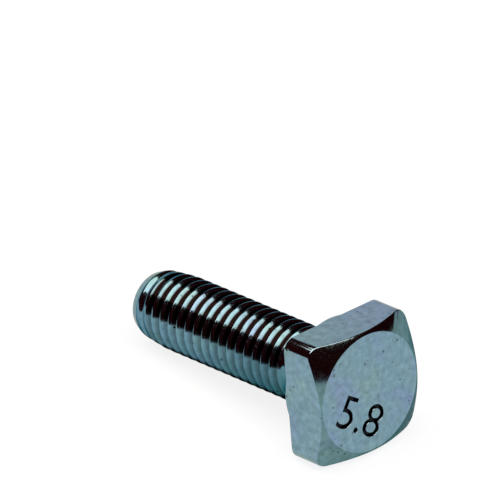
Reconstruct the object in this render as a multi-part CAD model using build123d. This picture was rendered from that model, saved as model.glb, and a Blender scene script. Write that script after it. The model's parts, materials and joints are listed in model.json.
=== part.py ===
"""Square head bolt, M8 coarse thread, zinc-plated steel, forged and thread-rolled in one piece.

Millimetres, +Z up. The bolt lies as it comes to rest: the lower edge of the head on the bearing side and
a thread crest near the point touch the floor, so the axis rises a little towards the head. The origin is
the centre of the bearing face, on the axis. The head lies towards +X and the point towards -X.

The functions below model the bolt upright on its own axis, with the bearing face at height 0, the head
above it and the point below. The last step lays it down.
"""

import os
from math import atan2, ceil, cos, degrees, radians, sin, tan

from build123d import *

# Thread, ISO metric coarse, right hand
THREAD_DIAMETER = 7.9  # over the crests, M8 with its rolling allowance
THREAD_PITCH = 1.25
FLANK_ANGLE = 60.0  # degrees between the two flanks
GROOVE_FLAT = 0.34  # at the bottom of each groove, the crests between them are sharp
THREAD_START_ANGLE = 203.0  # degrees, turns the thread about the axis

# Shank
SHANK_LENGTH = 26.4  # bearing face to the end of the point
NECK_DIAMETER = 7.2  # the plain blank that the thread was rolled on
NECK_LENGTH = 4.2  # bearing face to the end of the last groove
UNDERHEAD_FLARE = 0.3  # where the neck widens into the bearing face
POINT_DIAMETER = 7.1  # plain, before the first groove
POINT_LENGTH = 2.25  # end of the bolt to the start of the first groove
END_DIAMETER = 6.4  # at the very end, inside the end chamfer
END_CHAMFER_LENGTH = 0.9
RUNOUT_ANGLE = 45.0  # degrees between the axis and the fading crests and grooves at the neck
LEAD_IN_ANGLE = 15.0  # degrees between the axis and the rising crests at the point
CREST_LEAD = 0.35  # how much further the crests reach along the plain ends than the grooves

# Head
ACROSS_FLATS = 13.0
HEAD_HEIGHT = 5.3  # bearing face to the top of the head
CORNER_RADIUS = 1.3  # the four upright edges
CHAMFER_CIRCLE = 12.35  # diameter of the flat on top of the head
CHAMFER_ANGLE = 30.0  # degrees between the chamfer and the top of the head
WASHER_FACE_DIAMETER = 12.6
WASHER_FACE_HEIGHT = 0.4

# Worked out from the sizes above
CREST_RADIUS = THREAD_DIAMETER / 2
FLANK_WIDTH = (THREAD_PITCH - GROOVE_FLAT) / 2
THREAD_DEPTH = FLANK_WIDTH / tan(radians(FLANK_ANGLE / 2))
ROOT_RADIUS = CREST_RADIUS - THREAD_DEPTH
NECK_RADIUS = NECK_DIAMETER / 2
POINT_RADIUS = POINT_DIAMETER / 2
END_RADIUS = END_DIAMETER / 2
RISE_LENGTH = POINT_LENGTH - CREST_LEAD  # end of the bolt to the first rise of the crests
CORE_RADIUS = min(ROOT_RADIUS, NECK_RADIUS, END_RADIUS) / 2  # well inside the metal
CLEAR_RADIUS = CREST_RADIUS + THREAD_DEPTH  # well outside the crests
ROD_START = POINT_LENGTH - SHANK_LENGTH - 3 * THREAD_PITCH  # well past the first groove


def turned(*corners):
    """Solid of revolution from (radius, height) corners, closed along the axis."""
    lowest = (0, corners[0][1])
    highest = (0, corners[-1][1])
    profile = make_face(Polyline(lowest, *corners, highest, close=True))
    return revolve(Plane.XZ * profile, Axis.Z)


def threaded_rod(start, turns):
    """Endless right-hand thread: one ruled strip a turn for each flank and groove bottom."""
    section = [
        (CREST_RADIUS, 0),
        (ROOT_RADIUS, FLANK_WIDTH),
        (ROOT_RADIUS, FLANK_WIDTH + GROOVE_FLAT),
    ]

    def helix_turn(radius, height):
        return Edge.make_helix(THREAD_PITCH, THREAD_PITCH, radius, center=(0, 0, height))

    heights = [start + turn * THREAD_PITCH for turn in range(turns)]
    rails = [helix_turn(radius, base + rise) for base in heights for radius, rise in section]
    rails.append(helix_turn(CREST_RADIUS, start + turns * THREAD_PITCH))
    strips = [Face.make_surface_from_curves(low, high) for low, high in zip(rails, rails[1:])]

    def end_cap(height):
        """Closes one end with a spiral face and the axial section that it starts and ends at."""
        axis_step = Edge.make_line((0, 0, height), (0, 0, height + THREAD_PITCH))
        spiral = Face.make_surface_from_curves(axis_step, helix_turn(CREST_RADIUS, height))
        outline = [(0, 0, height)]
        outline += [(radius, 0, height + rise) for radius, rise in section]
        outline += [(CREST_RADIUS, 0, height + THREAD_PITCH), (0, 0, height + THREAD_PITCH)]
        return [spiral, Face(Wire.make_polygon(outline, close=True))]

    caps = end_cap(start) + end_cap(start + turns * THREAD_PITCH)
    return Solid(Shell(strips + caps))


def thread_envelope():
    """What the thread is trimmed to: the crests rise from the point and fade into the neck."""
    lead_in = tan(radians(LEAD_IN_ANGLE))
    runout = tan(radians(RUNOUT_ANGLE))
    rise_height = RISE_LENGTH - SHANK_LENGTH
    fade_height = CREST_LEAD - NECK_LENGTH
    inside_point = RISE_LENGTH / 2 - SHANK_LENGTH
    inside_neck = -NECK_LENGTH / 2
    return turned(
        (POINT_RADIUS - (rise_height - inside_point) * lead_in, inside_point),
        (CLEAR_RADIUS, rise_height + (CLEAR_RADIUS - POINT_RADIUS) / lead_in),
        (CLEAR_RADIUS, fade_height - (CLEAR_RADIUS - NECK_RADIUS) / runout),
        (NECK_RADIUS - (inside_neck - fade_height) * runout, inside_neck),
    )


def plain_body():
    """The plain point, the core, the neck that the grooves fade into, and the round bearing face."""
    runout = tan(radians(RUNOUT_ANGLE))
    groove_start = POINT_LENGTH - SHANK_LENGTH
    washer_radius = WASHER_FACE_DIAMETER / 2
    return turned(
        (END_RADIUS, -SHANK_LENGTH),
        (POINT_RADIUS, END_CHAMFER_LENGTH - SHANK_LENGTH),
        (POINT_RADIUS, groove_start),
        (CORE_RADIUS, groove_start + (POINT_RADIUS - CORE_RADIUS) / runout),
        (CORE_RADIUS, -NECK_LENGTH - (NECK_RADIUS - CORE_RADIUS) / runout),
        (NECK_RADIUS, -NECK_LENGTH),
        (NECK_RADIUS, -UNDERHEAD_FLARE),
        (NECK_RADIUS + UNDERHEAD_FLARE, 0),
        (washer_radius, 0),
        (washer_radius, WASHER_FACE_HEIGHT),
    )


def square_head():
    """Square block with rounded corners, chamfered by a cone at the top."""
    block = extrude(
        Pos(0, 0, WASHER_FACE_HEIGHT) * RectangleRounded(ACROSS_FLATS, ACROSS_FLATS, CORNER_RADIUS),
        HEAD_HEIGHT - WASHER_FACE_HEIGHT,
    )
    reach = ACROSS_FLATS  # past the corners
    chamfer_drop = (reach - CHAMFER_CIRCLE / 2) * tan(radians(CHAMFER_ANGLE))
    chamfer_cone = turned(
        (reach, -reach),
        (reach, HEAD_HEIGHT - chamfer_drop),
        (CHAMFER_CIRCLE / 2, HEAD_HEIGHT),
    )
    return block & chamfer_cone


def upright_bolt():
    """The whole bolt on its own axis."""
    turns = ceil(-ROD_START / THREAD_PITCH)
    rod = Rot(0, 0, THREAD_START_ANGLE) * threaded_rod(ROD_START, turns)
    thread = rod & thread_envelope()
    return thread + plain_body() + square_head()


def lying_tilt():
    """Degrees between the axis and the floor, with the head and the first full crest both on it."""
    taper = RISE_LENGTH + (CREST_RADIUS - POINT_RADIUS) / tan(radians(LEAD_IN_ANGLE))
    crest = ROD_START - THREAD_PITCH * THREAD_START_ANGLE / 360
    crest += ceil((taper - SHANK_LENGTH - crest) / THREAD_PITCH) * THREAD_PITCH
    return degrees(atan2(ACROSS_FLATS / 2 - CREST_RADIUS, WASHER_FACE_HEIGHT - crest))


def lay_down(bolt):
    """Turns the axis from upright to lying, with the head towards +X and its flats square to it."""
    tilt = radians(lying_tilt())
    floor_side = (sin(tilt), 0, -cos(tilt))
    toward_head = (cos(tilt), 0, sin(tilt))
    return Plane((0, 0, 0), x_dir=floor_side, z_dir=toward_head).location * bolt


if __name__ == "__main__":
    os.makedirs("parts", exist_ok=True)
    part = lay_down(upright_bolt())
    export_step(part, "parts/square_head_bolt.step")
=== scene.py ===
"""Square head bolt: its rolled thread, its forged head with a stamped mark, and the studio round it."""

import json
from math import atan, atan2, ceil, cos, pi, radians, sin, sqrt, tan

import bpy
from bpy.props import FloatProperty, FloatVectorProperty, IntProperty, PointerProperty, StringProperty
from mathutils import Matrix, Vector


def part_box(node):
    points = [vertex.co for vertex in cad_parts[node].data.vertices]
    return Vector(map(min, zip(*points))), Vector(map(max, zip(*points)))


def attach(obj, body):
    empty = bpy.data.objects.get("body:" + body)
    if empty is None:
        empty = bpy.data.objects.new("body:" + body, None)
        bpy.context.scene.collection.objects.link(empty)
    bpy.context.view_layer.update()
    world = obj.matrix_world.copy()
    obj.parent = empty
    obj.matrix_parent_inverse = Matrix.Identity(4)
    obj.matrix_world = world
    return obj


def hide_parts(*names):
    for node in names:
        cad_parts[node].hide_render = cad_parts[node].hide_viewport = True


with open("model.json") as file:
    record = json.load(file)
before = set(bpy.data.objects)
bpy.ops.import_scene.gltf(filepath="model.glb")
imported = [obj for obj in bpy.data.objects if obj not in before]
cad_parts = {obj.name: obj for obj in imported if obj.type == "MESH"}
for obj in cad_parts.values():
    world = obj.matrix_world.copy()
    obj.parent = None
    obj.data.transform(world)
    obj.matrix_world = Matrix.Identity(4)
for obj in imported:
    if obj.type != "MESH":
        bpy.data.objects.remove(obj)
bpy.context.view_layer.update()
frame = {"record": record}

bl_info = {
    "name": "Square Head Bolt",
    "version": (1, 0, 0),
    "blender": (4, 5, 0),
    "location": "3D View > Sidebar > Bolt",
    "description": "Models a zinc-plated square head bolt and lights it",
    "category": "Object",
}

BODY = "root"
CAD_NODE = "square_head_bolt"
TIP_SIDE = "tip_side"  # attribute of the shank, how far it faces the point

# Metres
SAME_PLACE = 1e-6  # vertices closer than this are one
ON_THE_CUT = 1e-7  # vertices closer than this to a cut lie on it
THREAD_SLIVER = 0.00003  # shorter edges are closed up where the thread is cut
HEAD_SLIVER = 0.00002  # shorter edges are closed up where the chamfer is cut


def length(name, description, default):
    """Length property, in metres."""
    return FloatProperty(name=name, description=description, default=default, unit="LENGTH", precision=5)


def angle(name, description, default):
    """Angle property, given in degrees."""
    return FloatProperty(name=name, description=description, default=radians(default), subtype="ANGLE")


def factor(name, description, default):
    """Plain number from 0 to 1."""
    return FloatProperty(name=name, description=description, default=default, min=0.0, max=1.0)


def colour(name, description, default):
    """Linear colour property."""
    return FloatVectorProperty(
        name=name, description=description, default=default, size=3, subtype="COLOR", min=0.0, max=1.0
    )


def position(name, description, default):
    """Place in the frame, in metres."""
    kind = {"subtype": "TRANSLATION", "unit": "LENGTH", "precision": 5}
    return FloatVectorProperty(name=name, description=description, default=default, **kind)


class ThreadSizes(bpy.types.PropertyGroup):
    """Sizes of the rolled thread, its point and its neck."""

    diameter: length("Thread diameter", "Over the crests", 0.00789)
    pitch: length("Pitch", "From crest to crest", 0.00125)
    flank: angle("Flank", "Between a flank and the axis", 50.0)
    crest_round: length("Crest rounding", "Radius over the crests", 0.0002)
    root_round: length("Root rounding", "Radius at the bottom of the grooves", 0.00012)
    start_angle: angle("Start angle", "Turns the thread about the axis", 203.0)
    steps: IntProperty(name="Steps", description="Steps in one turn", default=120, min=12)
    shank_length: length("Shank length", "Bearing face to the end of the point", 0.0264)
    neck_diameter: length("Neck diameter", "Plain blank under the head", 0.0072)
    neck_length: length("Neck length", "Bearing face to the last groove", 0.0042)
    flare: length("Flare", "Radius between the neck and the bearing face", 0.0003)
    point_diameter: length("Point diameter", "Plain, before the first groove", 0.0071)
    point_length: length("Point length", "End of the bolt to the first groove", 0.001)
    end_diameter: length("End diameter", "At the very end, inside the chamfer", 0.0064)
    end_chamfer: length("End chamfer", "Length of the chamfer round the end", 0.0009)
    end_round: length("End rounding", "Radius between the chamfer and the end", 0.00025)
    dish: length("Dish", "How deep the end is hollowed", 0.0002)
    soft_change: length("Soft change", "Blend between the thread and the plain ends", 0.00004)
    lead_in: angle("Lead-in angle", "Between the axis and the rising crests", 30.0)
    crest_taper: angle("Crest taper", "Between the axis and the first crests", 6.4)
    full_crest: length("First full crest", "From the bearing face", 0.02236)
    runout: angle("Run-out angle", "Between the axis and the fading thread", 45.0)
    crest_lead: length("Crest lead", "How far the crests reach past the grooves at the neck", 0.00035)
    washer_diameter: length("Washer face diameter", "Round bearing face under the head", 0.01284)
    washer_height: length("Washer face height", "How far it stands out of the head", 0.0004)
    washer_round: length("Washer face rounding", "Radius round the washer face", 0.00006)


class HeadSizes(bpy.types.PropertyGroup):
    """Sizes of the square head."""

    across_flats: length("Across flats", "Between two opposite flats", 0.013)
    height: length("Head height", "Bearing face to the top", 0.0053)
    corner: length("Corner rounding", "Radius of the four upright edges", 0.0013)
    chamfer_circle: length("Chamfer circle", "Diameter of the flat on top", 0.01235)
    chamfer: angle("Chamfer angle", "Between the chamfer and the top", 30.0)
    edge_round: length("Edge rounding", "Radius of the small edges", 0.00017)


class MarkSizes(bpy.types.PropertyGroup):
    """The strength class stamped in the top of the head."""

    text: StringProperty(name="Text", description="Characters of the stamp", default="5.8")
    width: length("Width", "Along the characters", 0.0060)
    height: length("Height", "Across the characters", 0.0034)
    rim: length("Rim", "How far the strokes widen at the surface", 0.00003)
    depth: length("Depth", "How deep it is struck", 0.0003)
    sideways: length("Sideways", "Centre of the mark from the axis, along +Y", -0.00144)
    upward: length("Upward", "Centre of the mark from the axis, away from the floor", -0.00215)
    turn: angle("Turn", "Turn of the mark, seen from the top of the head", -33.0)


class FinishColours(bpy.types.PropertyGroup):
    """Colours, gloss and darkening of the zinc plating, with its painted shade and painted shadow."""

    zinc: colour("Zinc", "Main colour of the plating", (0.183, 0.303, 0.37))
    green: colour("Green tint", "Where the plating is thin", (0.198, 0.322, 0.345))
    lilac: colour("Lilac tint", "Where the plating is thick", (0.19, 0.275, 0.405))
    # Near-black that darkens the pits and is the painted shade in the stamp and the grooves
    grime: colour("Grime", "Dark in the pits and the stamp", (0.006, 0.003, 0.003))
    # Dark teal of the painted shadow on the underside of the shank and of the painted shade beside the head
    film: colour("Film", "Dark film on the underside of the shank", (0.006, 0.085, 0.095))
    edge: colour("Edge", "Tint of the flats seen at a flat angle", (0.78, 0.76, 0.66))
    chamfer_edge: colour("Chamfer edge", "Tint of the chamfer seen at a flat angle", (0.3, 0.37, 0.37))
    thread_edge: colour("Thread edge", "Tint of thread and stamp seen at a flat angle", (0.2, 0.26, 0.28))
    # Darker, bluer copy of the zinc for the thread; the darkening is painted shade
    thread_painted_shade: colour("Thread shade", "Colour of the thread beside the head", (0.79, 0.93, 0.96))
    # Darker copy of the head's zinc on the chamfer: painted shade
    chamfer_painted_shade: colour("Chamfer shade", "Colour of the chamfer beside the face", (0.69, 0.75, 0.66))
    head_roughness: factor("Head roughness", "Roughness of the forged faces", 0.12)
    thread_roughness: factor("Thread roughness", "Roughness of the rolled thread", 0.12)
    head_bump: factor("Head relief", "Strength of the pits and the grain on the head", 0.25)
    thread_bump: factor("Thread relief", "Strength of the pits and the grain on the thread", 0.08)
    # How far the pits are darkened
    pit_darkness: factor("Pit darkness", "How dark the pits are", 0.62)
    # Near-black painted shade on the walls and floor of the stamp
    stamp_painted_shade: factor("Stamp painted shade", "How dark the stamp is", 0.97)


class StudioSettings(bpy.types.PropertyGroup):
    """Floor, paper backdrop, lamp, room and camera."""

    floor: colour("Floor", "Colour of the floor and the backdrop", (0.14, 0.17, 0.195))
    floor_size: length("Floor size", "Along each side", 6.0)
    glow: factor("Glow", "How white the floor looks without the lamp", 0.86)
    backdrop_glow: factor("Backdrop glow", "How white the backdrop looks without the lamp", 0.95)
    room: colour("Room", "The dark room round the table", (0.045, 0.003, 0.004))
    lamp_colour: colour("Lamp colour", "Colour of the overhead lamp", (1.0, 0.81, 0.69))
    lamp_width: length("Lamp width", "Along its long side", 1.3)
    lamp_depth: length("Lamp depth", "Along its short side", 0.62)
    lamp_height: length("Lamp height", "Above the floor", 0.6)
    lamp_forward: length("Lamp forward", "Centre of the lamp from the bolt, along its short side", 0.123)
    lamp_right: length("Lamp right", "Centre of the lamp from the bolt, along its long side", 0.07)
    lamp_facing: angle("Lamp facing", "Turn of the lamp over the table", 17.5)
    lamp_power: FloatProperty(name="Lamp power", description="Watts", default=8.5, unit="POWER")
    sweep_facing: angle("Backdrop facing", "Turn of the backdrop round the bolt", 62.5)
    sweep_width: length("Backdrop width", "From left to right", 1.84)
    sweep_distance: length("Backdrop distance", "From the bolt", 1.2)
    sweep_height: length("Backdrop height", "Top edge above the floor", 0.68)
    sweep_bend: length("Backdrop bend", "Radius between the floor and the backdrop", 0.4)
    card_facing: angle("Card facing", "Turn of the low card round the bolt", -65.0)
    card_width: length("Card width", "From left to right", 2.8)
    card_distance: length("Card distance", "From the bolt", 1.0)
    card_height: length("Card height", "Top edge above the floor", 0.13)
    card_bend: length("Card bend", "Radius between the floor and the low card", 0.08)
    camera_place: position("Camera", "Where the camera stands", (0.55539, -0.51536, 0.45688))
    camera_aim: position("Aim", "What the camera points at", (-0.01224, 0.0, 0.00912))
    lens: FloatProperty(name="Lens", description="Focal length", default=648.0, unit="CAMERA")
    sensor: FloatProperty(name="Sensor", description="Width of the sensor", default=36.0, unit="CAMERA")


class BoltSettings(bpy.types.PropertyGroup):
    """Everything about the bolt that a user may change."""

    thread: PointerProperty(type=ThreadSizes)
    head: PointerProperty(type=HeadSizes)
    mark: PointerProperty(type=MarkSizes)
    finish: PointerProperty(type=FinishColours)
    studio: PointerProperty(type=StudioSettings)


# Modelling helpers


def deselect_objects():
    """Leaves edit mode with nothing selected."""
    if bpy.context.object and bpy.context.object.mode != "OBJECT":
        bpy.ops.object.mode_set(mode="OBJECT")
    bpy.ops.object.select_all(action="DESELECT")


def activate(piece):
    """Makes one object the selected and active one."""
    deselect_objects()
    piece.select_set(True)
    bpy.context.view_layer.objects.active = piece


def edit(piece):
    """Opens edit mode with nothing selected."""
    activate(piece)
    bpy.ops.object.mode_set(mode="EDIT")
    bpy.ops.mesh.select_all(action="DESELECT")


def pick(piece, kind, test):
    """Selects the vertices, edges or faces of a piece in edit mode that pass a test."""
    modes = {"vertices": "VERT", "edges": "EDGE", "polygons": "FACE"}
    bpy.ops.mesh.select_mode(type=modes[kind])
    bpy.ops.mesh.select_all(action="DESELECT")
    bpy.ops.object.mode_set(mode="OBJECT")
    for item in getattr(piece.data, kind):
        item.select = test(item)
    bpy.ops.object.mode_set(mode="EDIT")


def apply_modifier(piece, kind, **settings):
    """Adds a modifier, sets it and applies it."""
    activate(piece)
    modifier = piece.modifiers.new(kind.title(), kind)
    for name, value in settings.items():
        setattr(modifier, name, value)
    bpy.ops.object.modifier_apply(modifier=modifier.name)
    if not piece.data.polygons:
        raise RuntimeError(f"The {kind.lower()} modifier left nothing of {piece.name}")


def even_shares(count, first=0):
    """Even shares of a stretch in a number of steps, up to 1."""
    return [step / count for step in range(first, count + 1)]


def draw_line(name, points):
    """Line of (radius, height) points in the XZ plane, drawn by extruding one vertex."""
    deselect_objects()
    any_size = 0.001  # the plane is merged to one vertex
    bpy.ops.mesh.primitive_plane_add(size=any_size, location=(points[0][0], 0, points[0][1]))
    line = bpy.context.object
    line.name = name
    bpy.ops.object.transform_apply(location=True, rotation=False, scale=False)
    bpy.ops.object.mode_set(mode="EDIT")
    bpy.ops.mesh.select_all(action="SELECT")
    bpy.ops.mesh.merge(type="CENTER")
    for start, end in zip(points, points[1:]):
        move = {"value": (end[0] - start[0], 0, end[1] - start[1])}
        bpy.ops.mesh.extrude_region_move(TRANSFORM_OT_translate=move)
    bpy.ops.object.mode_set(mode="OBJECT")
    return line


def close_round_end(piece, at_height, outline):
    """Continues an open round end through (radius, height) rings and closes it on the axis."""
    edit(piece)
    pick(piece, "vertices", lambda vertex: abs(vertex.co.z - at_height) < SAME_PLACE)
    bpy.ops.mesh.remove_doubles(threshold=THREAD_SLIVER)
    bpy.ops.object.mode_set(mode="OBJECT")
    radius = max(vertex.co.xy.length for vertex in piece.data.vertices if vertex.select)
    bpy.ops.object.mode_set(mode="EDIT")
    height = at_height
    for next_radius, next_height in outline:
        rise = {"value": (0, 0, next_height - height)}
        bpy.ops.mesh.extrude_edges_move(TRANSFORM_OT_translate=rise)
        scale = next_radius / radius
        bpy.ops.transform.resize(value=(scale, scale, 1), center_override=(0, 0, next_height))
        radius = next_radius
        height = next_height
    bpy.ops.mesh.merge(type="CENTER")
    bpy.ops.object.mode_set(mode="OBJECT")


def bolt_axis():
    """Centre of the bearing face and the direction from it towards the head, from the record."""
    mounts = frame["record"]["mounts"]
    bearing_face = next(mount for mount in mounts if mount["name"] == "bearing_face")
    return Vector(bearing_face["pos_m"]), -Vector(bearing_face["axis"])


def lay_down(piece):
    """Turns a piece from its own upright axis to the bolt's axis in the frame."""
    centre, toward_head = bolt_axis()
    sideways = Vector((0, 1, 0))
    floor_side = sideways.cross(toward_head)
    turn = Matrix((floor_side, sideways, toward_head)).transposed().to_4x4()
    activate(piece)
    piece.matrix_world = Matrix.Translation(centre) @ turn
    bpy.ops.object.transform_apply(location=True, rotation=True, scale=True)


def finish_piece(piece):
    """Lays the piece down and ties it to the frame."""
    lay_down(piece)
    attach(piece, BODY)
    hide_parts(CAD_NODE)


# Node helpers


def node_group(name, inputs, outputs):
    """Node group with its sockets, each given by its kind or, for a number, by its default."""
    group = bpy.data.node_groups.new(name, "ShaderNodeTree")
    for direction, sockets in (("INPUT", inputs), ("OUTPUT", outputs)):
        for label, given in sockets.items():
            kind = given if isinstance(given, str) else "Float"
            socket = group.interface.new_socket(
                name=label, in_out=direction, socket_type=f"NodeSocket{kind}"
            )
            if given != kind:
                socket.default_value = given
    return group


class Nodes:
    """Short way to add and link the nodes of one tree."""

    def __init__(self, tree):
        self.tree = tree
        tree.nodes.clear()

    def add(self, kind, inputs=None, **settings):
        """Adds a node, with a link or a value on each input that is given."""
        node = self.tree.nodes.new(kind)
        for name, value in settings.items():
            setattr(node, name, value)
        for name, value in (inputs or {}).items():
            if isinstance(value, bpy.types.NodeSocket):
                self.tree.links.new(value, node.inputs[name])
            else:
                node.inputs[name].default_value = value
        return node

    def math(self, operation, *values, clamp=False):
        """Sum, product or comparison of its values."""
        inputs = dict(enumerate(values))
        node = self.add("ShaderNodeMath", inputs, operation=operation, use_clamp=clamp)
        return node.outputs[0]

    def blend(self, amount, first, second):
        """Colour between two colours."""
        inputs = {0: amount, 6: first, 7: second}
        node = self.add("ShaderNodeMix", inputs, data_type="RGBA")
        return node.outputs[2]

    def ramp(self, value, zero_at, one_at):
        """Soft step from 0 to 1 between two values."""
        inputs = {"Value": value, "From Min": zero_at, "From Max": one_at}
        node = self.add("ShaderNodeMapRange", inputs, interpolation_type="SMOOTHSTEP")
        return node.outputs["Result"]

    def noise(self, vector, scale, detail=2.0):
        """Cloudy noise from 0 to 1."""
        inputs = {"Vector": vector, "Scale": scale, "Detail": detail}
        return self.add("ShaderNodeTexNoise", inputs).outputs["Fac"]

    def split(self, vector):
        """X, Y and Z of a vector."""
        return self.add("ShaderNodeSeparateXYZ", {"Vector": vector}).outputs


def plating_group():
    """Node group: colour of the plating, drifting between zinc, green and lilac."""
    group = node_group(
        "Zinc plating",
        {
            "Vector": "Vector",
            "Zinc": "Color",
            "Green": "Color",
            "Lilac": "Color",
            "Patch Scale": 300.0,
            "Fine Scale": 1500.0,
            "Cloud": 0.88,
            "Tinted Flat": 0.9,
        },
        {"Color": "Color"},
    )
    green_patch = (0.45, 0.75)  # noise, from the edge of a patch to its middle
    lilac_patch = (0.5, 0.78)
    lilac_shift = (0.31, 0.17, 0.23)  # metres, so that the lilac patches lie elsewhere
    upper_flat = (0.0058, 0.0064)  # metres above the axis
    right_side = (-0.004, 0.004)  # metres along +Y
    fine_detail = 4.0
    nodes = Nodes(group)
    start = nodes.add("NodeGroupInput").outputs
    vector = start["Vector"]
    green = nodes.ramp(nodes.noise(vector, start["Patch Scale"]), *green_patch)
    shifted = nodes.add("ShaderNodeVectorMath", {0: vector, 1: lilac_shift}, operation="ADD")
    lilac = nodes.ramp(nodes.noise(shifted.outputs[0], start["Patch Scale"]), *lilac_patch)
    place = nodes.split(vector)
    upper = nodes.ramp(place["Z"], *upper_flat)
    tinted = nodes.math("MULTIPLY", nodes.ramp(place["Y"], *right_side), start["Tinted Flat"])
    lilac = nodes.math("MAXIMUM", lilac, nodes.math("MULTIPLY", upper, tinted))
    tint = nodes.blend(green, start["Zinc"], start["Green"])
    tint = nodes.blend(lilac, tint, start["Lilac"])
    fine = nodes.noise(vector, start["Fine Scale"], fine_detail)
    cloud = nodes.math("MULTIPLY", nodes.math("SUBTRACT", fine, 0.5), start["Cloud"])
    bright = nodes.math("ADD", 1.0, cloud)
    scaled = nodes.add("ShaderNodeVectorMath", {0: tint, "Scale": bright}, operation="SCALE")
    nodes.add("NodeGroupOutput", {"Color": scaled.outputs[0]})
    return group


def wear_group():
    """Node group: small pits, fine scratches and grain of a handled forging."""
    group = node_group(
        "Pits and scratches",
        {
            "Vector": "Vector",
            "Pit Scale": 1300.0,
            "Pit Patch Scale": 585.0,
            "Scratch Scale": 3600.0,
            "Grain Scale": 6000.0,
        },
        {"Pits": "Float", "Scratches": "Float", "Grain": "Float"},
    )
    pit_patch = (0.46, 0.6)  # noise, from no pits to all of them
    pit = (0.26, 0.08)  # distance, from the rim of a pit to its middle
    scratch = (0.66, 0.74)  # noise, from the edge of a scratch to its middle
    scratch_turn = (0.3, 0.9, 0.5)  # radians
    scratch_stretch = (0.06, 1.0, 1.0)
    scratch_detail = 1.0
    grain_detail = 3.0
    nodes = Nodes(group)
    start = nodes.add("NodeGroupInput").outputs
    vector = start["Vector"]
    cells = nodes.add("ShaderNodeTexVoronoi", {"Vector": vector, "Scale": start["Pit Scale"]})
    few = nodes.ramp(nodes.noise(vector, start["Pit Patch Scale"]), *pit_patch)
    spots = nodes.ramp(cells.outputs["Distance"], *pit)
    pits = nodes.math("MULTIPLY", spots, few)
    stretched = nodes.add("ShaderNodeMapping", {
        "Vector": vector, "Rotation": scratch_turn, "Scale": scratch_stretch
    })
    lines = nodes.noise(stretched.outputs[0], start["Scratch Scale"], scratch_detail)
    scratches = nodes.ramp(lines, *scratch)
    grain = nodes.noise(vector, start["Grain Scale"], grain_detail)
    nodes.add("NodeGroupOutput", {"Pits": pits, "Scratches": scratches, "Grain": grain})
    return group


def groove_group():
    """Node group: painted shade in the grooves, on the upper flanks that face the point and along the
    lowest edge, from the distance to the axis and the height, and a painted shadow on the underside of the
    shank and beside the head.
    """
    group = node_group(
        "Groove grime",
        {
            "Vector": "Vector",
            "Tip Side": "Float",
            "Clean Radius": 0.00377,
            "Dark Radius": 0.00362,
            "Thread Start": -0.0241,
            "Thread End": -0.0042,
            "Facing Grime": 0.95,
            "Under Grime": 0.48,
            "Lowest Grime": 0.95,
            "Side Film": 0.42,
            "Low Film": 0.5,
        },
        {"Grime": "Float", "Film": "Float"},
    )
    facing_point = (0.06, 0.26)  # how far the surface faces the point, from no painted shade to full
    under_radius = (0.00393, 0.0035)  # metres from the axis, from no painted shade to full
    top_side_height = (0.0002, 0.0014)  # metres above the axis, as the heights below
    lowest_height = (-0.0019, -0.0027)
    low_shadow_height = (0.0012, -0.003)
    side_shade_height = (0.0022, 0.0006)
    side_shade_place = (-0.02, -0.003)  # metres along the axis, towards the head
    nodes = Nodes(group)
    start = nodes.add("NodeGroupInput").outputs
    place = nodes.split(start["Vector"])
    across = nodes.add("ShaderNodeCombineXYZ", {"Y": place["Y"], "Z": place["Z"]}).outputs[0]
    radius = nodes.add("ShaderNodeVectorMath", {0: across}, operation="LENGTH").outputs["Value"]
    # Painted shade deep in the grooves and on the flanks that face the point, on the upper side only
    deep = nodes.ramp(radius, start["Clean Radius"], start["Dark Radius"])
    turned_away = nodes.ramp(start["Tip Side"], *facing_point)
    turned_away = nodes.math("MULTIPLY", turned_away, start["Facing Grime"])
    top_side = nodes.ramp(place["Z"], *top_side_height)
    upper = nodes.math("MULTIPLY", nodes.math("MAXIMUM", deep, turned_away), top_side)
    # Lighter painted shade in the grooves all round the thread
    under = nodes.math("MULTIPLY", nodes.ramp(radius, *under_radius), start["Under Grime"])
    after = nodes.math("GREATER_THAN", place["X"], start["Thread Start"])
    before = nodes.math("LESS_THAN", place["X"], start["Thread End"])
    threaded = nodes.math("MULTIPLY", after, before)
    grime = nodes.math("MULTIPLY", nodes.math("MAXIMUM", upper, under), threaded)
    # Painted shadow along the lowest edge of the shank
    lowest = nodes.math("MULTIPLY", nodes.ramp(place["Z"], *lowest_height), start["Lowest Grime"])
    grime = nodes.math("MAXIMUM", grime, lowest)
    # Painted shade on the side of the shank near the head, and painted shadow darker towards the bottom
    along = nodes.math("MULTIPLY", nodes.ramp(place["X"], *side_shade_place), start["Side Film"])
    side = nodes.math("MULTIPLY", nodes.ramp(place["Z"], *side_shade_height), along)
    down = nodes.math("MULTIPLY", nodes.ramp(place["Z"], *low_shadow_height), start["Low Film"])
    film = nodes.math("ADD", side, down, clamp=True)
    nodes.add("NodeGroupOutput", {"Grime": grime, "Film": film})
    return group


# Zinc finishes

FINISH_NAMES = {
    "head": "Zinc on the forged head",
    "thread": "Zinc on the rolled thread",
    "stamp": "Zinc in the stamp",
    "chamfer": "Zinc on the chamfer",
}


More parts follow.
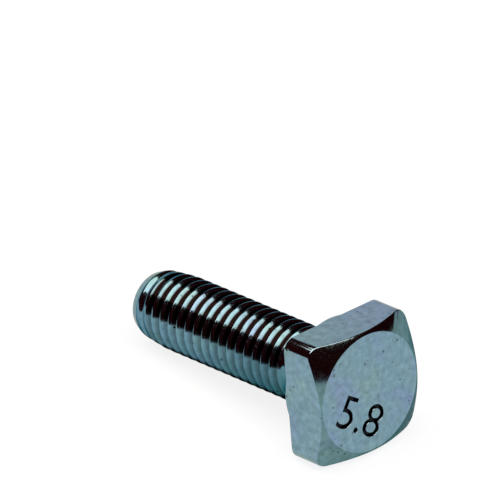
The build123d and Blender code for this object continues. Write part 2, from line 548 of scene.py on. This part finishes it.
def zinc_material(name, groups, colours, roughness, bump, edge, shade=(1, 1, 1), grime=0.0, grooves=False):
    """Zinc-plated steel with its own roughness, relief, tint (darker on the thread and the chamfer, as
    painted shade) and amount of near-black painted shade.
    """
    grain_roughness = 0.12
    scratch_roughness = 0.1
    grain_height = 0.3  # a pit is 1 deep
    bump_height = 0.00004  # metres
    material = bpy.data.materials.new(name)
    material.use_nodes = True
    nodes = Nodes(material.node_tree)
    toward_head = bolt_axis()[1]
    tilt = atan2(toward_head.z, toward_head.x)
    vector = nodes.add("ShaderNodeMapping", {
        "Vector": nodes.add("ShaderNodeTexCoord").outputs["Object"], "Rotation": (0, tilt, 0)
    }).outputs[0]
    wear = nodes.add("ShaderNodeGroup", {"Vector": vector}, node_tree=groups["wear"]).outputs
    plating = nodes.add("ShaderNodeGroup", {"Vector": vector}, node_tree=groups["plating"])
    for part in ("zinc", "green", "lilac"):
        tint = [value * share for value, share in zip(getattr(colours, part), shade)]
        plating.inputs[part.title()].default_value = (*tint, 1)
    plated = plating.outputs["Color"]
    # Darkening of the pits, plus the near-black painted shade given for the stamp
    shade_and_pits = nodes.math("ADD", nodes.math("MULTIPLY", wear["Pits"], colours.pit_darkness), grime, clamp=True)
    # On the thread: painted shade in the grooves and a painted shadow on the underside
    if grooves:
        tip_side = nodes.add("ShaderNodeAttribute", attribute_name=TIP_SIDE).outputs["Fac"]
        inputs = {"Vector": vector, "Tip Side": tip_side}
        groove = nodes.add("ShaderNodeGroup", inputs, node_tree=groups["groove"]).outputs
        shade_and_pits = nodes.math("ADD", shade_and_pits, groove["Grime"], clamp=True)
        plated = nodes.blend(groove["Film"], plated, (*colours.film, 1))
    # The zinc blends to near-black where the painted shade and the pits are
    base = nodes.blend(shade_and_pits, plated, (*colours.grime, 1))
    grain = nodes.math("MULTIPLY", wear["Grain"], grain_roughness)
    rough = nodes.math("ADD", grain, roughness - grain_roughness / 2)
    rough = nodes.math("ADD", rough, nodes.math("MULTIPLY", wear["Scratches"], scratch_roughness))
    height = nodes.math("SUBTRACT", nodes.math("MULTIPLY", wear["Grain"], grain_height), wear["Pits"])
    relief = nodes.add("ShaderNodeBump", {"Height": height, "Strength": bump, "Distance": bump_height})
    shader = nodes.add("ShaderNodeBsdfPrincipled", {
        "Base Color": base, "Metallic": 1.0, "Roughness": rough, "Normal": relief.outputs[0],
        "Specular Tint": (*edge, 1),
    })
    nodes.add("ShaderNodeOutputMaterial", {"Surface": shader.outputs[0]})


def zinc_finish(place):
    """The zinc on one place of the bolt. All four are made on the first call."""
    if FINISH_NAMES[place] not in bpy.data.materials:
        groups = {"plating": plating_group(), "wear": wear_group(), "groove": groove_group()}
        colours = bpy.context.scene.bolt.finish
        forged = {"roughness": colours.head_roughness, "bump": colours.head_bump}
        rolled = {"roughness": colours.thread_roughness, "bump": colours.thread_bump}
        # Painted shade: darker zinc on the thread and the chamfer, near-black zinc in the stamp
        recipes = {
            "head": {**forged, "edge": colours.edge},
            "thread": {
                **rolled, "edge": colours.thread_edge, "shade": colours.thread_painted_shade, "grooves": True
            },
            "stamp": {**forged, "edge": colours.thread_edge, "grime": colours.stamp_painted_shade},
            "chamfer": {**forged, "edge": colours.chamfer_edge, "shade": colours.chamfer_painted_shade},
        }
        for each, recipe in recipes.items():
            zinc_material(FINISH_NAMES[each], groups, colours, **recipe)
    return bpy.data.materials[FINISH_NAMES[place]]


# Shank


def thread_profile(sizes):
    """(radius, height) points of the rounded thread over one pitch, from crest to crest."""
    crest_steps, root_steps = 7, 4
    flank_shares = (1 / 3, 2 / 3)  # points on the straight of a flank
    flank = sizes.flank
    crest_radius = sizes.diameter / 2
    rounds = sizes.crest_round + sizes.root_round
    depth = sizes.pitch / 2 * tan(flank) - rounds * (1 / cos(flank) - 1)
    half = []
    for share in even_shares(crest_steps):
        lean = flank * share
        half.append((crest_radius - sizes.crest_round * (1 - cos(lean)), sizes.crest_round * sin(lean)))
    root = []
    for share in reversed(even_shares(root_steps)):
        lean = flank * share
        rise = sizes.root_round * (1 - cos(lean))
        root.append((crest_radius - depth + rise, sizes.pitch / 2 - sizes.root_round * sin(lean)))
    top, bottom = half[-1], root[0]
    for share in flank_shares:
        half.append((top[0] + (bottom[0] - top[0]) * share, top[1] + (bottom[1] - top[1]) * share))
    half += root
    mirrored = [(radius, sizes.pitch - height) for radius, height in reversed(half[:-1])]
    return half + mirrored


def soft_low(first, second, width):
    """The lower of two radii, with a soft change between them."""
    return (first + second - sqrt((first - second) ** 2 + width**2)) / 2


def soft_high(first, second, width):
    """The higher of two radii, with a soft change between them."""
    return (first + second + sqrt((first - second) ** 2 + width**2)) / 2


def trim_thread(shank, sizes):
    """Lets the thread rise out of the point and fade into the neck."""
    groove_start = sizes.point_length - sizes.shank_length
    fade_height = sizes.crest_lead - sizes.neck_length
    crest_radius = sizes.diameter / 2
    point_radius = sizes.point_diameter / 2
    neck_radius = sizes.neck_diameter / 2
    for vertex in shank.data.vertices:
        radius = vertex.co.xy.length
        height = vertex.co.z
        lead = point_radius + (height - groove_start) * tan(sizes.lead_in)
        lead = min(lead, crest_radius + (height + sizes.full_crest) * tan(sizes.crest_taper))
        fade = neck_radius + (fade_height - height) * tan(sizes.runout)
        thread = soft_low(radius, min(lead, fade), sizes.soft_change)
        point = point_radius - max(0, height - groove_start) * tan(sizes.runout)
        neck = neck_radius - max(0, -sizes.neck_length - height) * tan(sizes.runout)
        scale = soft_high(thread, max(point, neck), sizes.soft_change) / radius
        vertex.co.x *= scale
        vertex.co.y *= scale


def note_tip_side(shank):
    """Keeps how far each vertex of the upright shank faces the point, for the painted shade."""
    facing = [max(0.0, -vertex.normal.z) for vertex in shank.data.vertices]
    shank.data.attributes.new(TIP_SIDE, "FLOAT", "POINT").data.foreach_set("value", facing)


def cut_round(shank, height, keep_above):
    """Cuts the shank square to its axis and leaves the end open."""
    edit(shank)
    bpy.ops.mesh.select_all(action="SELECT")
    bpy.ops.mesh.bisect(
        plane_co=(0, 0, height),
        plane_no=(0, 0, 1),
        threshold=ON_THE_CUT,
        clear_inner=keep_above,
        clear_outer=not keep_above,
    )


class BOLT_OT_threaded_shank(bpy.types.Operator):
    """Model the rolled thread, the point, the neck and the washer face"""

    bl_idname = "bolt.threaded_shank"
    bl_label = "Threaded Shank"
    bl_options = {"REGISTER", "UNDO"}

    def execute(self, context):
        sizes = context.scene.bolt.thread
        shank = self.roll_rod(sizes)
        trim_thread(shank, sizes)
        self.close_point(shank, sizes)
        self.add_washer_face(shank, sizes)
        edit(shank)
        bpy.ops.mesh.select_all(action="SELECT")
        bpy.ops.mesh.normals_make_consistent(inside=False)
        bpy.ops.object.mode_set(mode="OBJECT")
        note_tip_side(shank)
        bpy.ops.object.shade_smooth_by_angle(angle=radians(40))
        self.plate(shank, sizes)
        finish_piece(shank)
        return {"FINISHED"}

    def roll_rod(self, sizes):
        """Threaded rod that is longer than the shank at both ends."""
        turns_below, turns_above = 3, 1  # past the first groove and past the bearing face
        start = sizes.point_length - sizes.shank_length - turns_below * sizes.pitch
        shank = draw_line("threaded_shank", thread_profile(sizes))
        steps = sizes.steps
        turns = ceil(-start / sizes.pitch) + turns_above
        apply_modifier(
            shank, "SCREW", screw_offset=sizes.pitch, iterations=turns, steps=steps, render_steps=steps
        )
        edit(shank)
        bpy.ops.mesh.select_all(action="SELECT")
        bpy.ops.mesh.remove_doubles(threshold=SAME_PLACE)
        bpy.ops.object.mode_set(mode="OBJECT")
        shank.matrix_world = Matrix.Translation((0, 0, start)) @ Matrix.Rotation(sizes.start_angle, 4, "Z")
        bpy.ops.object.transform_apply(location=True, rotation=True, scale=True)
        return shank

    def close_point(self, shank, sizes):
        """Chamfers and rounds the end of the point and hollows it a little."""
        plain_length = 0.0001  # left above the chamfer
        shoulder_rise, shoulder_drop = 0.00003, 0.00001  # ring that softens the top of the chamfer
        chamfer_falls = (0.00008, 0.0002, 0.0004)  # rings that hold the chamfer straight
        round_steps = 6
        # Each ring of the dish, as shares of its radius and of its depth
        dish_rings = ((0.93, 0.0), (0.82, 0.2), (0.64, 0.65), (0.4, 0.95), (0.2, 1.0))
        end = -sizes.shank_length
        point = sizes.point_diameter / 2
        bend = sizes.end_round
        slope = (point - sizes.end_diameter / 2) / sizes.end_chamfer
        shoulder = end + sizes.end_chamfer
        cut_round(shank, shoulder + plain_length, True)
        outline = [(point - shoulder_drop, shoulder + shoulder_rise)]
        outline += [(point - slope * fall, shoulder - fall) for fall in chamfer_falls]
        lean_start = atan(slope)
        on_chamfer = end + bend * (1 - sin(lean_start))
        flat = point - slope * (shoulder - on_chamfer) - bend * cos(lean_start)
        for share in even_shares(round_steps):
            lean = lean_start + (pi / 2 - lean_start) * share
            outline.append((flat + bend * cos(lean), end + bend * (1 - sin(lean))))
        outline += [(flat * share, end + sizes.dish * sink) for share, sink in dish_rings]
        close_round_end(shank, shoulder + plain_length, outline)

    def add_washer_face(self, shank, sizes):
        """Flares the neck into the bearing face and closes it inside the head."""
        flare_steps, round_steps = 6, 5
        face_shares = (0.3, 0.6, 0.9)  # rings across the bearing face
        inside_head = sizes.washer_height * 1.5
        flare = sizes.flare
        neck = sizes.neck_diameter / 2
        washer = sizes.washer_diameter / 2
        bend = sizes.washer_round
        cut_round(shank, -flare, False)
        outline = []
        for share in even_shares(flare_steps, first=1):
            lean = pi / 2 * share
            outline.append((neck + flare * (1 - cos(lean)), -flare * (1 - sin(lean))))
        outline += [(neck + (washer - neck) * share, 0) for share in face_shares]
        for share in even_shares(round_steps):
            lean = pi / 2 * share
            outline.append((washer - bend * (1 - sin(lean)), bend * (1 - cos(lean))))
        outline.append((washer, inside_head))
        outline.append((washer / 2, inside_head))
        close_round_end(shank, -flare, outline)

    def plate(self, shank, sizes):
        """Gives the thread its own zinc, darker as painted shade, and the end and the washer face that of
        the head.
        """
        for place in ("thread", "head"):
            shank.data.materials.append(zinc_finish(place))
        point_end = sizes.end_chamfer - sizes.shank_length
        for face in shank.data.polygons:
            face.material_index = int(not point_end < face.center.z < -sizes.flare)


# Head


def chamfer_cutter(sizes):
    """Turned blank whose cone leaves the chamfer on the square block."""
    sides = 192
    reach = sizes.across_flats
    drop = (reach - sizes.chamfer_circle / 2) * tan(sizes.chamfer)
    foot = -sizes.height
    shoulder = sizes.height - drop
    deselect_objects()
    bpy.ops.mesh.primitive_cylinder_add(
        vertices=sides, radius=reach, depth=shoulder - foot, location=(0, 0, (shoulder + foot) / 2)
    )
    cutter = bpy.context.object
    bpy.ops.object.transform_apply(location=True, rotation=False, scale=False)
    edit(cutter)
    pick(cutter, "polygons", lambda face: face.normal.z > 0.5)
    bpy.ops.mesh.extrude_region_move(TRANSFORM_OT_translate={"value": (0, 0, drop)})
    share = sizes.chamfer_circle / 2 / reach
    bpy.ops.transform.resize(value=(share, share, 1), center_override=(0, 0, sizes.height))
    bpy.ops.object.mode_set(mode="OBJECT")
    return cutter


def stamp_cutter(top, sizes):
    """The characters of the stamp as a solid, set into the top of the head."""
    lift = 0.00002  # the solid starts this far above the head
    draft = sizes.rim / 4  # how far the walls lean in
    deselect_objects()
    bpy.ops.object.text_add()
    text = bpy.context.object
    text.data.body = sizes.text
    text.data.align_x = "CENTER"
    text.data.resolution_u = 5
    bpy.ops.object.convert(target="MESH")
    cutter = bpy.context.object
    corners = [vertex.co for vertex in cutter.data.vertices]
    low = Vector(min(corner[axis] for corner in corners) for axis in range(3))
    high = Vector(max(corner[axis] for corner in corners) for axis in range(3))
    size = high - low
    middle = (low + high) / 2
    stretch = Matrix.Diagonal((sizes.width / size.x, sizes.height / size.y, 1, 1))
    place = Matrix.Translation((-sizes.upward, sizes.sideways, top + lift))
    turn = Matrix.Rotation(pi / 2 + sizes.turn, 4, "Z")
    cutter.matrix_world = place @ turn @ stretch @ Matrix.Translation(-middle)
    bpy.ops.object.transform_apply(location=True, rotation=True, scale=True)
    edit(cutter)
    bpy.ops.mesh.select_all(action="SELECT")
    bpy.ops.mesh.remove_doubles(threshold=SAME_PLACE)
    bpy.ops.mesh.extrude_region_move(TRANSFORM_OT_translate={"value": (0, 0, -lift)})
    bpy.ops.mesh.inset(thickness=sizes.rim, depth=-sizes.rim, use_even_offset=False)
    bpy.ops.mesh.inset(thickness=draft, depth=-sizes.depth, use_even_offset=False)
    bpy.ops.mesh.select_all(action="SELECT")
    bpy.ops.mesh.normals_make_consistent(inside=False)
    bpy.ops.object.mode_set(mode="OBJECT")
    return cutter


class BOLT_OT_square_head(bpy.types.Operator):
    """Model the forged square head with its chamfer and its stamped mark"""

    bl_idname = "bolt.square_head"
    bl_label = "Square Head"
    bl_options = {"REGISTER", "UNDO"}

    def execute(self, context):
        settings = context.scene.bolt
        sizes = settings.head
        head = self.rounded_block(sizes, settings.thread.washer_height)
        cutter = chamfer_cutter(sizes)
        apply_modifier(head, "BOOLEAN", object=cutter, operation="INTERSECT", solver="EXACT")
        bpy.data.objects.remove(cutter)
        self.round_edges(head, sizes)
        self.strike_mark(head, sizes, settings.mark)
        self.plate_chamfer(head, sizes)
        activate(head)
        bpy.ops.object.shade_smooth_by_angle(angle=radians(35))
        apply_modifier(head, "WEIGHTED_NORMAL", keep_sharp=True, weight=100)
        finish_piece(head)
        return {"FINISHED"}

    def rounded_block(self, sizes, foot):
        """Square block with rounded upright corners, from the washer face to the top."""
        depth = sizes.height - foot
        deselect_objects()
        bpy.ops.mesh.primitive_cube_add(size=1, location=(0, 0, foot + depth / 2))
        head = bpy.context.object
        head.name = "square_head"
        head.scale = (sizes.across_flats, sizes.across_flats, depth)
        bpy.ops.object.transform_apply(location=True, rotation=False, scale=True)
        edit(head)
        mesh = head.data

        def upright(edge):
            first, second = (mesh.vertices[index].co for index in edge.vertices)
            return abs(first.z - second.z) > depth / 2

        pick(head, "edges", upright)
        bpy.ops.mesh.bevel(offset=sizes.corner, segments=10, profile=0.5)
        bpy.ops.object.mode_set(mode="OBJECT")
        return head

    def round_edges(self, head, sizes):
        """Takes the sharpness off every edge of the chamfered block."""
        edit(head)
        bpy.ops.mesh.select_all(action="SELECT")
        bpy.ops.mesh.remove_doubles(threshold=HEAD_SLIVER)
        bpy.ops.mesh.select_all(action="DESELECT")
        bpy.ops.mesh.select_mode(type="EDGE")
        bpy.ops.mesh.edges_select_sharp(sharpness=radians(15))
        bpy.ops.mesh.bevel(offset=sizes.edge_round, segments=3, profile=0.5, clamp_overlap=True)
        bpy.ops.object.mode_set(mode="OBJECT")

    def strike_mark(self, head, sizes, mark):
        """Cuts the mark into the top and paints its walls and floor near-black, a painted shade."""
        cutter = stamp_cutter(sizes.height, mark)
        for piece in (head, cutter):
            for place in ("head", "stamp"):
                piece.data.materials.append(zinc_finish(place))
        for face in cutter.data.polygons:
            face.material_index = int(face.center.z < sizes.height - mark.rim)
        apply_modifier(
            head, "BOOLEAN", object=cutter, operation="DIFFERENCE", solver="EXACT", material_mode="TRANSFER"
        )
        bpy.data.objects.remove(cutter)

    def plate_chamfer(self, head, sizes):
        """Gives the turned chamfer its own zinc, a darker copy of the head's: painted shade."""
        head.data.materials.append(zinc_finish("chamfer"))
        chamfer_index = len(head.data.materials) - 1
        slope = cos(sizes.chamfer)
        tolerance = 0.01
        for face in head.data.polygons:
            if face.material_index == 0 and abs(face.normal.z - slope) < tolerance:
                face.material_index = chamfer_index


# Studio


class BOLT_OT_studio(bpy.types.Operator):
    """Set up the floor, the white sheets round it, the overhead lamp, the dark room and the camera"""

    bl_idname = "bolt.studio"
    bl_label = "Studio"
    bl_options = {"REGISTER", "UNDO"}

    def execute(self, context):
        settings = context.scene.bolt.studio
        self.add_floor(settings)
        self.add_sweep(settings, "backdrop", "sweep")
        self.add_sweep(settings, "low_card", "card")
        self.add_lamp(settings)
        self.set_room(context, settings)
        self.add_camera(context, settings)
        context.scene.view_settings.view_transform = "Standard"
        return {"FINISHED"}

    def paper(self, name, settings, glow):
        """Pale paper that looks white to the camera and in reflections, and still takes shadows."""
        material = bpy.data.materials.new(name)
        material.use_nodes = True
        nodes = Nodes(material.node_tree)
        path = nodes.add("ShaderNodeLightPath").outputs
        seen = nodes.math("ADD", path["Is Camera Ray"], path["Is Glossy Ray"])
        seen = nodes.math("ADD", seen, path["Is Transmission Ray"], clamp=True)
        paper = nodes.add("ShaderNodeBsdfPrincipled", {
            "Base Color": (*settings.floor, 1), "Roughness": 0.9, "Specular IOR Level": 0.0,
            "Emission Color": (1, 1, 1, 1), "Emission Strength": nodes.math("MULTIPLY", seen, glow),
        })
        nodes.add("ShaderNodeOutputMaterial", {"Surface": paper.outputs[0]})
        return material

    def place_round(self, piece, facing):
        """Turns a stage piece round the bolt and sets it on the ground under the bolt's lowest edge."""
        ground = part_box(CAD_NODE)[0][2]
        activate(piece)
        piece.matrix_world = Matrix.Translation((0, 0, ground)) @ Matrix.Rotation(facing, 4, "Z")
        bpy.ops.object.transform_apply(location=True, rotation=True, scale=True)

    def add_floor(self, settings):
        """Pale floor under the bolt."""
        deselect_objects()
        bpy.ops.mesh.primitive_plane_add(size=settings.floor_size, location=(0, 0, 0))
        floor = bpy.context.object
        floor.name = "floor"
        floor.data.materials.append(self.paper("Pale floor", settings, settings.glow))
        self.place_round(floor, 0.0)

    def add_sweep(self, settings, name, prefix):
        """Sheet of white paper that bends up from the floor. Its settings' names start with the prefix."""
        sizes = ("width", "distance", "height", "bend", "facing")
        width, distance, height, bend, facing = (getattr(settings, f"{prefix}_{size}") for size in sizes)
        foot = distance - bend
        strip = 0.1  # depth of the first strip, which lies on the floor
        lift = 0.001  # above the floor
        bend_steps = 12
        deselect_objects()
        bpy.ops.mesh.primitive_plane_add(size=1, location=(0, foot - strip / 2, lift))
        sweep = bpy.context.object
        sweep.name = name
        sweep.scale = (width, strip, 1)
        bpy.ops.object.transform_apply(location=True, rotation=False, scale=True)
        edit(sweep)
        mesh = sweep.data

        def far(edge):
            return all(mesh.vertices[index].co.y > foot - strip / 2 for index in edge.vertices)

        pick(sweep, "edges", far)
        leans = [pi / 2 * share for share in even_shares(bend_steps)]
        for last, lean in zip(leans, leans[1:]):
            move = (0, bend * (sin(lean) - sin(last)), bend * (cos(last) - cos(lean)))
            bpy.ops.mesh.extrude_edges_move(TRANSFORM_OT_translate={"value": move})
        bpy.ops.mesh.extrude_edges_move(TRANSFORM_OT_translate={"value": (0, 0, height - bend)})
        bpy.ops.object.mode_set(mode="OBJECT")
        bpy.ops.object.shade_smooth_by_angle(angle=radians(30))
        sweep.data.materials.append(self.paper(f"White {name}", settings, settings.backdrop_glow))
        self.place_round(sweep, facing)

    def add_lamp(self, settings):
        """Long softbox over the table, in front of the bolt."""
        deselect_objects()
        facing = settings.lamp_facing
        centre = Vector((settings.lamp_right, -settings.lamp_forward, settings.lamp_height))
        place = Matrix.Rotation(facing, 4, "Z") @ centre
        bpy.ops.object.light_add(type="AREA", location=place, rotation=(0, 0, facing))
        lamp = bpy.context.object
        lamp.name = "overhead_softbox"
        lamp.data.shape = "RECTANGLE"
        lamp.data.size = settings.lamp_width
        lamp.data.size_y = settings.lamp_depth
        lamp.data.energy = settings.lamp_power
        lamp.data.color = settings.lamp_colour

    def set_room(self, context, settings):
        """The dark room beyond the table."""
        world = bpy.data.worlds.new("Dark room")
        context.scene.world = world
        world.use_nodes = True
        nodes = Nodes(world.node_tree)
        room = nodes.add("ShaderNodeBackground", {"Color": (*settings.room, 1), "Strength": 1.0})
        nodes.add("ShaderNodeOutputWorld", {"Surface": room.outputs[0]})

    def add_camera(self, context, settings):
        """Long lens, looking down on the head and the left of the shank."""
        deselect_objects()
        place = settings.camera_place
        aim = settings.camera_aim
        bpy.ops.object.camera_add(location=place)
        camera = bpy.context.object
        camera.rotation_euler = (aim - place).to_track_quat("-Z", "Y").to_euler()
        camera.data.lens = settings.lens
        camera.data.sensor_width = settings.sensor
        camera.data.clip_start = 0.01
        context.scene.camera = camera


class BOLT_PT_panel(bpy.types.Panel):
    """Settings and steps of the bolt"""

    bl_label = "Square Head Bolt"
    bl_idname = "BOLT_PT_panel"
    bl_space_type = "VIEW_3D"
    bl_region_type = "UI"
    bl_category = "Bolt"

    def draw(self, context):
        settings = context.scene.bolt
        for group in (settings.thread, settings.head, settings.mark, settings.finish, settings.studio):
            box = self.layout.box()
            for name in group.bl_rna.properties.keys():
                if name not in ("rna_type", "name"):
                    box.prop(group, name)
        for operator in OPERATORS:
            self.layout.operator(operator.bl_idname)


OPERATORS = (BOLT_OT_threaded_shank, BOLT_OT_square_head, BOLT_OT_studio)
CLASSES = (
    ThreadSizes,
    HeadSizes,
    MarkSizes,
    FinishColours,
    StudioSettings,
    BoltSettings,
    *OPERATORS,
    BOLT_PT_panel,
)


def register():
    """Registers the classes and the settings."""
    for item in CLASSES:
        bpy.utils.register_class(item)
    bpy.types.Scene.bolt = PointerProperty(type=BoltSettings)


def unregister():
    """Takes the classes and the settings out again."""
    del bpy.types.Scene.bolt
    for item in reversed(CLASSES):
        bpy.utils.unregister_class(item)


def main():
    """Registers the settings and builds the pieces and the studio."""
    register()
    bpy.ops.bolt.threaded_shank()
    bpy.ops.bolt.square_head()
    bpy.ops.bolt.studio()


if __name__ == "__main__":
    main()
